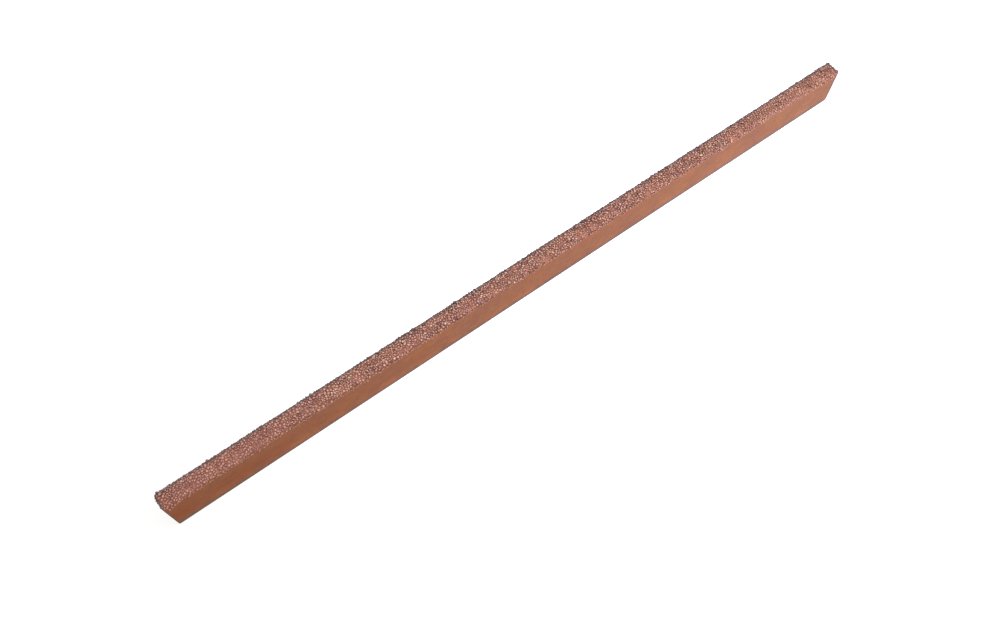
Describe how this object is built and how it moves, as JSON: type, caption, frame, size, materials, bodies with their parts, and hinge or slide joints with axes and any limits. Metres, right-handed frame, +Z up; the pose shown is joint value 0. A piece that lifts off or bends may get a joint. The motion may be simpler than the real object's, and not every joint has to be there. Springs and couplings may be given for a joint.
{
  "type": "sanding stick",
  "caption": "Rigid sanding stick: a flat copper-coated steel bar with coarse carbide grit brazed along its upper narrow edge.",
  "frame": {"origin": "middle of the stick's footprint, on the surface that its base stands on", "axes": "+X along the stick, towards the end whose lower corner is rounded off; +Y across its thickness, to the back face; +Z up, from the base to the grit"},
  "size_m": [0.2804, 0.0062, 0.0159],
  "materials": {
    "steel": "mill finish, hidden under the copper",
    "copper": "satin copper film from furnace brazing, lightly mottled",
    "braze": "dull copper braze, run up round the grains",
    "grit": "copper-washed carbide grains, mauve to pink brown"
  },
  "bodies": {
    "root": {"steel_bar": "steel", "copper_film": "copper", "braze_bed": "braze", "grit_working_edge": "grit", "grit_front_lap": "grit", "grit_back_lap": "grit", "grit_left_end": "grit", "grit_right_end": "grit"}
  },
  "joints": []
}
